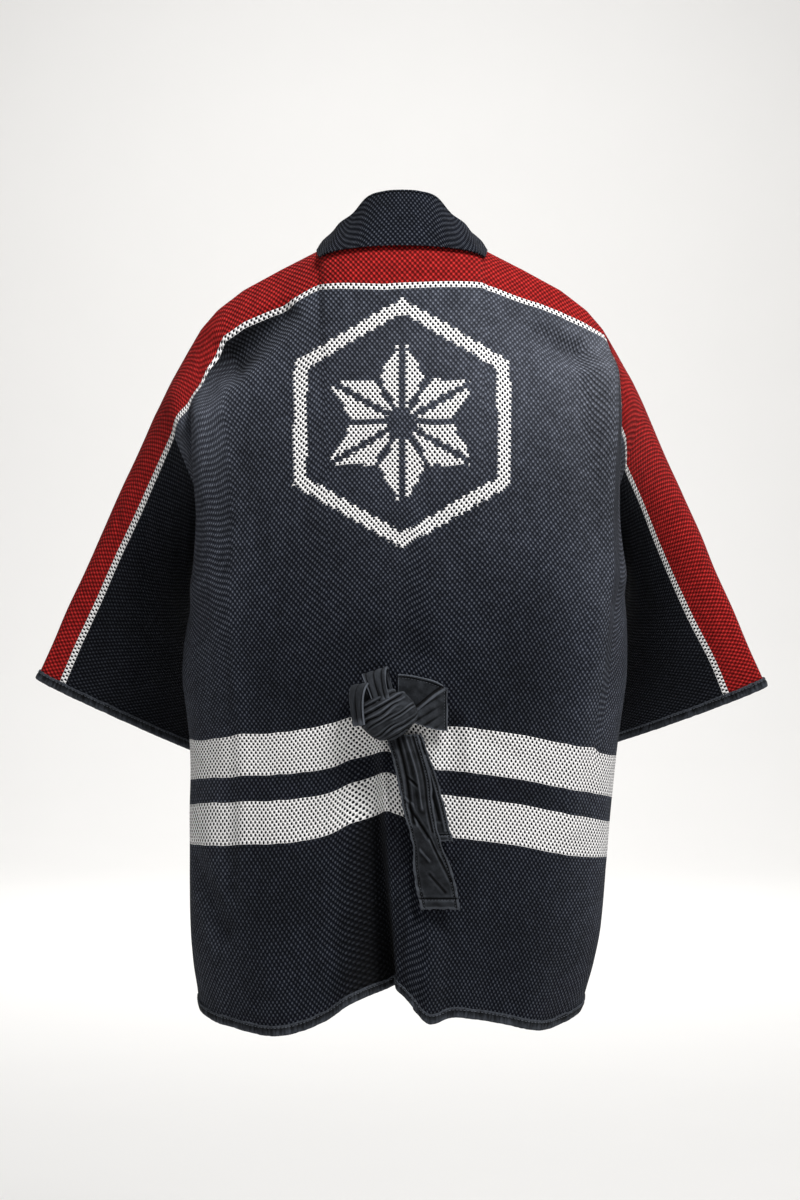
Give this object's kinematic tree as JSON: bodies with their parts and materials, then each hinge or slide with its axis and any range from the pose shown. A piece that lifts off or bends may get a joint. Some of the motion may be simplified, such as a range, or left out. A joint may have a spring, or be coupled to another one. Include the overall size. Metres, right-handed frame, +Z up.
{
  "type": "fireman jacket",
  "caption": "Hip-length hanten-style fireman jacket of thick stitched cotton, hollow as worn, with a fold-over band collar, square sleeves and a knotted tie at the back of the waist.",
  "frame": {"origin": "base of the neck, on the centre line and level with the shoulder line, where the wearer's shoulders hold the jacket up", "axes": "+Z up the wearer's body, +Y the way the wearer faces, +X the wearer's right, so the back of the jacket faces -Y"},
  "size_m": [0.8597, 0.2903, 0.957],
  "materials": {
    "cloth_body": "thick navy-charcoal cotton in a stitched weave, with a red band over the shoulders and white stripes, matt",
    "cloth_collar": "charcoal cotton in the same stitched weave, matt",
    "cloth_binding": "plain charcoal cotton strip, matt, a little puckered by its stitching",
    "cloth_tie": "plain charcoal cotton tape with stitched edges, matt"
  },
  "bodies": {
    "root": {"back": "cloth_body", "front_left": "cloth_body", "front_right": "cloth_body", "sleeve_left": "cloth_body", "sleeve_right": "cloth_body", "collar": "cloth_collar", "hem_binding_back": "cloth_binding", "hem_binding_front_left": "cloth_binding", "hem_binding_front_right": "cloth_binding", "cuff_binding_left": "cloth_binding", "cuff_binding_right": "cloth_binding", "tie_band": "cloth_tie", "tie_knot": "cloth_tie", "tie_tail_long": "cloth_tie", "tie_tail_short": "cloth_tie"}
  },
  "joints": []
}
